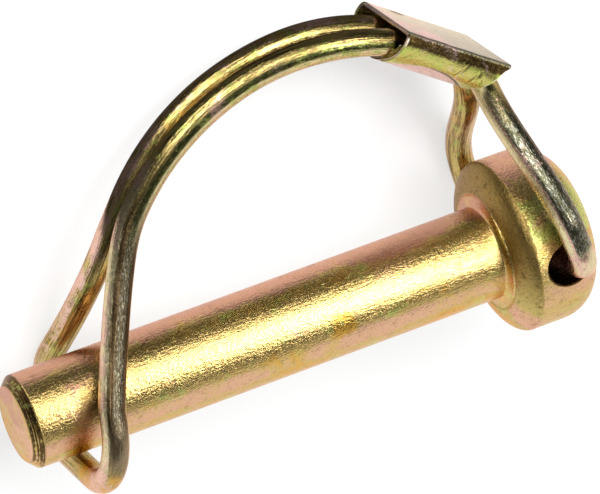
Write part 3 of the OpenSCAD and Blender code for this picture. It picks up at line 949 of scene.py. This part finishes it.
def wire_material():
    """Plated drawn wire with lengthwise die marks. Its near half is darker: a streaked strand with painted
    shade down its middle and pale painted reflections along its edges, a dark painted reflection over the
    crown above a pale one, a corner lightened as painted light, and a flecked leg with a pale elbow."""
    material, tree, shader = new_metal("wire_plate", WIRE_EDGE)
    place = add(tree, "ShaderNodeAttribute", attribute_name="wire_run").outputs["Vector"]
    split = add(tree, "ShaderNodeSeparateXYZ", {0: place}).outputs
    outward = plus(tree, maths(tree, "ADD", split["Y"], -0.15), (noise(tree, place, 0.7, 3.0, 0.6), 0.3))
    across = maths(tree, "ABSOLUTE", outward)
    from_bar = maths(tree, "ABSOLUTE", maths(tree, "SUBTRACT", split["X"], WIRE_MIDDLE))
    near = ramped(tree, split["X"], WIRE_MIDDLE + 2, WIRE_MIDDLE - 2)
    from_end = maths(tree, "SUBTRACT", WIRE_MIDDLE, from_bar)
    bend = within(tree, from_bar, *BEND_TINT)
    strand = times(tree, within(tree, from_bar, *STRAND_FILM), near)
    corner = times(tree, strand, ramped(tree, from_bar, *CORNER_LIGHT_ZONE, 0, 0.5))
    leg = times(tree, ramped(tree, from_end, *LEG_FILM), near)
    crown = times(tree, near, ramped(tree, from_bar, *CROWN_REFLECTIONS), outside(tree, leg))
    elbow = ramped(tree, from_end, *ELBOW_PALE)
    dull = largest(tree, strand, leg)
    streak = noise(tree, stretched(tree, place, (0.2, 4.6, 4.6)), 1.0, 4.0, 0.7)
    fleck = noise(tree, stretched(tree, place, (1.7, 6.5, 6.5)), 1.0, 3.0, 0.7)

    flecked = mixed(
        tree, ramped(tree, fleck, 0.50, 0.60, 0.0, plus(tree, 0.5, (leg, 0.4))),
        mixed(tree, leg, WIRE_SLATE_SHADE, WIRE_MOSS), mixed(tree, leg, WIRE_DUST, WIRE_FLECK),
    )
    brown = mixed(tree, ramped(tree, streak, 0.46, 0.54), WIRE_BROWN, WIRE_CHAR)
    # In the strand's middle, where the softbox reflects, the darker slate is painted shade
    brown = mixed(tree, largest(tree, leg, ramped(tree, across, 0.6, 0.4)), brown, flecked)
    # The loop's corner is lightened: painted light
    brown = mixed(tree, corner, brown, WIRE_CORNER_LIGHT)
    gold = mixed(tree, ramped(tree, streak, 0.46, 0.56, 0.0, 0.75), WIRE_GOLD, WIRE_SHADE)
    gold = mixed(tree, dull, gold, brown)
    # A dark band over the crown is a painted reflection
    dark_reflection = times(tree, crown, within(tree, outward, *DARK_REFLECTION_BAND), ramped(tree, fleck, 0.62, 0.52, 0.55, 0.95))
    gold = mixed(tree, dark_reflection, gold, WIRE_DARK_REFLECTION)
    # The crown's pale lower edge is a painted reflection
    gold = mixed(tree, times(tree, crown, ramped(tree, outward, -0.1, -0.35, 0, 0.6)), gold, WIRE_PALE)
    # Pale strips along the leg's and the strand's edges are painted reflections
    pale_edge_reflection = times(tree, leg, ramped(tree, outward, -0.85, -0.98))
    pale_edge_reflection = plus(tree, pale_edge_reflection, (strand, ramped(tree, across, 0.98, 1.12)))
    gold = mixed(tree, largest(tree, pale_edge_reflection, elbow), gold, WIRE_PALE)

    # Pink lines along the leg's and the strands' edges are painted reflections
    line = times(tree, leg, within(tree, across, *LEG_EDGE_REFLECTION), ramped(tree, outward, 0.1, -0.1))
    strand_edge_reflection = times(tree, strand, ramped(tree, outward, 1.05, 1.2))
    far_edge_reflection = times(tree, outside(tree, near), ramped(tree, outward, 0.95, 1.1))
    strand_core = times(tree, strand, ramped(tree, across, 1.05, 0.9))
    tinted = largest(tree, bend, far_edge_reflection, strand_edge_reflection)
    pink_share = plus(tree, -0.06, (elbow, 0.3), (line, 0.5), (tinted, 0.22), (strand_core, -0.2))
    film = {
        "Place": stretched(tree, place, (1.6, 1.6, 1.6)), "Gold": gold,
        "Green": WIRE_GREEN, "Pink": WIRE_PINK, "Amber": WIRE_AMBER, "Pink Share": pink_share,
        "Green Share": plus(tree, 0.05, (dull, -0.3)),
        "Amber Share": plus(tree, maths(tree, "MULTIPLY", bend, 0.28), (dull, -0.3)), "Grime": 0.5,
    }
    skin = {
        "Place": place, "Run": stretched(tree, place, (0.2, 4.5, 4.5)), "Grit": plus(tree, 0.6, (dull, 1.2)),
        "Hollows": 0.4, "Marks": 2.0, "Nicks": 0.6,
    }
    smeared = plus(tree, WIRE_ROUGHNESS, (dull, 0.08), (strand, 0.07))
    plated(tree, shader, film, skin, smeared, WIRE_WEAR, WIRE_DEPTH)
    return material


spring_bail.data.materials.append(wire_material())
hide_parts("bail")
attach(spring_bail, "bail")

# ---------------------------------------------------------------------------------------------
# The clip: one strip of thin sheet folded round both strands and crimped. Its flat top plate
# ends in a hard crease on the near side, and the near flap laps over the belly.
# ---------------------------------------------------------------------------------------------
CLIP_SHEET = 0.42
CLIP_DEEP = 4.5
PLATE_HALF = 5.33
PLATE_MIDDLE = PLATE_HALF - CLIP_SHEET / 2
NEAR_HALF = 5.47
NEAR_SHOULDER = (0.95, 0.9)
SHOULDER_BOW = 0.35
FAR_HALF = 6.35
FAR_SHOULDER = 1.6
CUT_BACK = 3.2
FLAP_EDGE = (33.0, 36.0)
LAP_GAP = 0.14
TUCK_END = 14.0
CREASE_ROUND = 0.22
# Each dent's place along the clip, slant, half width, height and distance below the crease
CLIP_DENTS = [
    (3.4, 0.25, 0.2, -0.09, 2.1), (2.7, -0.35, 0.22, 0.07, 2.1), (1.6, 0.3, 0.18, -0.08, 2.1),
    (5.0, -0.2, 0.18, -0.08, 0.9), (-4.4, 0.4, 0.16, -0.05, 2.1),
]
DENT_REACH = 0.7
FLAP_WAVE = 0.02
PLATE_DISH = 0.08
CLIP_STATIONS = 190
CLIP_ROWS = 240
END_THIN = 0.45
END_RUN = 0.008
EDGE_THIN = 0.5
EDGE_ROWS = 3
CLIP_SHARP = 50
FOLD_STEP = 0.02
FLAP_ROW = 20
INNER_PLACE = 40
CLIP_PLATE = (0.62, 0.60, 0.45, 1)
CLIP_SIDE = (0.62, 0.55, 0.16, 1)
# Dark brown for painted shade under the near crease and along the lap, and for the plate's gouge
CLIP_SHADE_AND_GOUGE = (0.10, 0.06, 0.02, 1)
# Pale for a painted highlight along the cut rim
CLIP_RIM_HIGHLIGHT = (0.88, 0.80, 0.66, 1)
CLIP_GREEN = (0.56, 0.62, 0.14, 1)
CLIP_PINK = (0.84, 0.60, 0.54, 1)
CLIP_EDGE = (1.0, 0.86, 0.82)
# Middle of the gouge in the plate: its place along the clip, and one and a half times its place round it
CLIP_GOUGE = (-2.9, 14.4, 0)
# Where the lap's painted shadow and the painted highlight on the cut rim begin and are full, in millimetres
# from the sheet's edges
LAP_SHADOW = ((-0.14, -0.06), (1.05, 0.85))
RIM_HIGHLIGHT_ZONE = (0.26, 0.14)
CLIP_ROUGHNESS = 0.16
CLIP_WEAR = 0.06
CLIP_DEPTH = 0.035


def clip_section(stations):
    """Middle of the sheet's thickness as (across, depth) grids, each arc as R cos a and R sin a: the flap and
    its shoulder, plate, far shoulder, far belly, and the near belly tucked inside the flap."""
    t = CLIP_SHEET / 2
    ones = np.ones((1, len(stations)))
    edge = np.radians(FLAP_EDGE[0] + FLAP_EDGE[1] * (stations / (CLIP_L / 2)) ** 2)[None, :]
    turn = edge * (1 - np.linspace(0, 1, 36)[:-1, None])
    widest = (NEAR_SHOULDER[0] + NEAR_SHOULDER[1] * (0.5 + stations / CLIP_L) ** 2)[None, :]
    near_deep = CLIP_DEEP - widest - t
    flap = np.stack([(NEAR_HALF - t) * np.cos(turn), widest + near_deep * np.sin(turn)])
    rise = np.linspace(0, 1, 12)[:-1, None]
    lean = (1 - SHOULDER_BOW) * rise + SHOULDER_BOW * rise ** 2
    shoulder = np.stack([
        (NEAR_HALF - t) + (PLATE_HALF - NEAR_HALF) * lean * ones, widest + (t - widest) * rise
    ])
    over = np.linspace(0, 1, 60)[:-1, None]
    plate = np.stack([(PLATE_HALF - t) * (1 - 2 * over) * ones, (t + 0 * over) * ones])
    bulge = np.linspace(0, 1, 24)[:-1, None]
    far_shoulder = np.stack([
        -(PLATE_HALF - t) - (FAR_HALF - PLATE_HALF) * np.sin(bulge * np.pi / 2) * ones,
        (t + (FAR_SHOULDER - t) * (1 - np.cos(bulge * np.pi / 2))) * ones,
    ])
    turn = np.radians(np.linspace(0, 90, 40))[:-1, None]
    far_belly = np.stack([
        -(FAR_HALF - t) * np.cos(turn) * ones,
        (FAR_SHOULDER + (CLIP_DEEP - FAR_SHOULDER - t) * np.sin(turn)) * ones,
    ])
    turn = np.radians(np.linspace(90, TUCK_END, 44))[:, None]
    inside = (CLIP_SHEET + LAP_GAP) * ease((90 - np.degrees(turn)) / 45)
    near_belly = np.stack([
        (NEAR_HALF - t - inside) * np.cos(turn) * ones, widest + (near_deep - inside) * np.sin(turn)
    ])
    return np.concatenate([flap, shoulder, plate, far_shoulder, far_belly, near_belly], axis=1)


def evened(section, count):
    """The section at equal steps of its own length, with its corners eased by a short running mean."""
    out = np.empty((2, count, section.shape[2]))
    for j in range(section.shape[2]):
        path, _, _ = resampled(section[:, :, j].T, section[:, :, j].T, FOLD_STEP)
        window = np.hanning(int(CREASE_ROUND / FOLD_STEP) * 2 + 3)
        window /= window.sum()
        padded = np.pad(path, ((len(window) // 2,) * 2, (0, 0)), mode="reflect", reflect_type="odd")
        path = np.column_stack([np.convolve(padded[:, k], window, mode="valid") for k in range(2)])
        pick = np.linspace(0, len(path) - 1, count)
        out[:, :, j] = [np.interp(pick, np.arange(len(path)), path[:, k]) for k in range(2)]
    return out


def crimps(along, length):
    """Outward bend of the sheet, in bell curves: the crimping tool's short dents in the near flap, and a
    dished plate."""
    plate = np.exp(-((length - PLATE_MIDDLE) / 3.5) ** 2)
    bend = -PLATE_DISH * plate * np.cos(along * np.pi / CLIP_L)
    bend += FLAP_WAVE * np.sin(along * 1.9 + length * 0.8) * np.exp(-((length + 1) / 1.8) ** 2)
    for centre, slant, width, height, below in CLIP_DENTS:
        across = np.exp(-((along - centre - slant * length) / width) ** 2)
        bend += height * across * np.exp(-((length + below) / DENT_REACH) ** 2)
    return bend


def folded_clip_mesh():
    """Sheet of even thickness round the section: middle plus and minus half the sheet along its normal, with
    thinned ends, closed all round, and cut back at the head end in proportion to its depth."""
    station = np.linspace(-1, 1, CLIP_STATIONS)
    ends = 1 - END_THIN * np.clip(1 - (1 - np.abs(station)) / END_RUN, 0, 1) ** 2
    section = evened(clip_section(station * CLIP_L / 2), CLIP_ROWS)
    count = section.shape[1]
    across, deep = section
    reach = CLIP_L / 2 - CUT_BACK * np.clip(deep / CLIP_DEEP, 0, 1.1)
    along = -CLIP_L / 2 + (station[None, :] + 1) / 2 * (reach + CLIP_L / 2)
    d_across, d_deep = np.gradient(across, axis=0), np.gradient(deep, axis=0)
    size = np.hypot(d_across, d_deep)
    length = np.cumsum(size, axis=0)
    corner = np.hypot(across - PLATE_HALF + CLIP_SHEET / 2, deep - CLIP_SHEET / 2).argmin(axis=0)
    length = length - length[corner, np.arange(CLIP_STATIONS)]
    out_across, out_deep = d_deep / size, -d_across / size
    out_sign = np.sign(out_across[FLAP_ROW, 0])
    out_across, out_deep = out_across * out_sign, out_deep * out_sign
    bend = crimps(along, length)
    from_edge = np.minimum(np.arange(count), count - 1 - np.arange(count))[:, None]
    edges = 1 - EDGE_THIN * np.clip(1 - from_edge / EDGE_ROWS, 0, 1) ** 2
    half = CLIP_SHEET / 2 * ends[None, :] * edges
    shells = []
    for side in (1, -1):
        z = across + out_across * (bend + side * half)
        h = deep + out_deep * (bend + side * half)
        xy = clip_top + along[..., None] * clip_along - h[..., None] * clip_out
        shells.append(np.concatenate([xy, z[..., None]], axis=2))
    loop = np.concatenate([shells[0], shells[1][::-1]], axis=0)
    rows, columns = loop.shape[:2]
    index = np.arange(rows * columns).reshape(rows, columns)
    wrapped = np.vstack([index, index[:1]])
    walls = np.stack([wrapped[:-1, :-1], wrapped[1:, :-1], wrapped[1:, 1:], wrapped[:-1, 1:]], axis=2)
    outer, inner = index[:count], index[count:][::-1]
    tip_end = np.stack([outer[:-1, 0], inner[:-1, 0], inner[1:, 0], outer[1:, 0]], axis=1)
    head_end = np.stack([outer[:-1, -1], outer[1:, -1], inner[1:, -1], inner[:-1, -1]], axis=1)
    faces = np.vstack([walls.reshape(-1, 4), tip_end, head_end])
    widest = NEAR_SHOULDER[0] + NEAR_SHOULDER[1] * (0.5 + station / 2) ** 2
    turn = np.degrees(np.arctan2((deep - widest) / (CLIP_DEEP - widest), across / NEAR_HALF))
    past_edge = np.radians(turn - FLAP_EDGE[0] - FLAP_EDGE[1] * station ** 2) * NEAR_HALF
    outer_place = np.stack([along, length, past_edge], axis=2)
    place = np.concatenate([outer_place, (outer_place + [0, 0, INNER_PLACE])[::-1]])
    from_cut = np.minimum(reach - along, along + CLIP_L / 2)
    return loop.reshape(-1, 3), faces, place, np.concatenate([from_cut, from_cut[::-1]])


clip_points, clip_faces, clip_place, clip_from_cut = folded_clip_mesh()
folded_clip = new_piece("folded_clip", clip_points, clip_faces.tolist(), CLIP_SHARP)
keep_values(folded_clip, "sheet_place", "FLOAT_VECTOR", "vector", clip_place)
keep_values(folded_clip, "from_cut", "FLOAT", "value", clip_from_cut)


def clip_material():
    """Plated sheet: a scuffed pale top plate, a dark band of painted shade under its near crease, greener
    sides, painted shadow along the lap, a pink belly beyond the lap, and a bright painted highlight along the
    rim of the cut ends."""
    material, tree, shader = new_metal("clip_plate", CLIP_EDGE)
    place = add(tree, "ShaderNodeAttribute", attribute_name="sheet_place").outputs["Vector"]
    cut = add(tree, "ShaderNodeAttribute", attribute_name="from_cut").outputs["Fac"]
    split = add(tree, "ShaderNodeSeparateXYZ", {0: place}).outputs
    waver = maths(tree, "MULTIPLY_ADD", noise(tree, place, 2.2, 3.0, 0.7), 0.8, -0.4)
    off_plate = maths(tree, "ABSOLUTE", maths(tree, "SUBTRACT", split["Y"], PLATE_MIDDLE))
    plate = ramped(tree, off_plate, PLATE_HALF + 0.1, PLATE_HALF - 0.3)
    flap_top = ramped(tree, maths(tree, "ADD", split["Y"], waver), -1.25, -0.9)
    band = times(tree, flap_top, ramped(tree, split["Y"], 0.0, -0.15))
    outer = ramped(tree, split["Z"], INNER_PLACE / 2 + 1, INNER_PLACE / 2)
    under = times(tree, ramped(tree, split["Z"], 0.9, 1.1), outer)
    # The belly just past the flap's edge is painted dark as the flap's shadow
    lap = within(tree, split["Z"], *LAP_SHADOW)
    # A painted highlight along the cut rim of the near side
    rim_highlight = times(tree, ramped(tree, cut, *RIM_HIGHLIGHT_ZONE), ramped(tree, split["Y"], -0.2, -0.6), outer)
    # The ragged dark band under the near crease is painted shade
    dark_band = times(tree, band, ramped(tree, noise(tree, place, 4.5, 3.0, 0.7), 0.66, 0.56, 0.5, 1.0))
    gouge = distance_from(tree, stretched(tree, place, (1.0, 1.5, 0)), CLIP_GOUGE)
    gouge = times(tree, plate, ramped(tree, plus(tree, gouge, (waver, 1.5)), 1.0, 0.8))
    gold = mixed(tree, plate, CLIP_SIDE, CLIP_PLATE)
    gold = mixed(tree, largest(tree, dark_band, lap, gouge), gold, CLIP_SHADE_AND_GOUGE)
    gold = mixed(tree, rim_highlight, gold, CLIP_RIM_HIGHLIGHT)
    blush = times(tree, plate, ramped(tree, split["X"], 3.0, -5.0, -0.05, 0.2))
    film = {
        "Place": place, "Gold": gold, "Green": CLIP_GREEN, "Pink": CLIP_PINK,
        "Pink Share": plus(tree, blush, (under, 0.4)),
        "Green Share": plus(tree, 0.14, (largest(tree, plate, band, lap), -0.3)),
        "Amber Share": -0.05, "Grime": 0.35,
    }
    skin = {
        "Place": place, "Run": stretched(tree, place, (0.6, 4.0, 1.0)),
        "Grit": 0.8, "Hollows": 0.9, "Marks": 0.9, "Nicks": 0.8,
    }
    dull = plus(tree, CLIP_ROUGHNESS, (plate, 0.12), (rim_highlight, 0.35))
    plated(tree, shader, film, skin, dull, CLIP_WEAR, CLIP_DEPTH)
    return material


folded_clip.data.materials.append(clip_material())
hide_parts("clip")
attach(folded_clip, "bail")
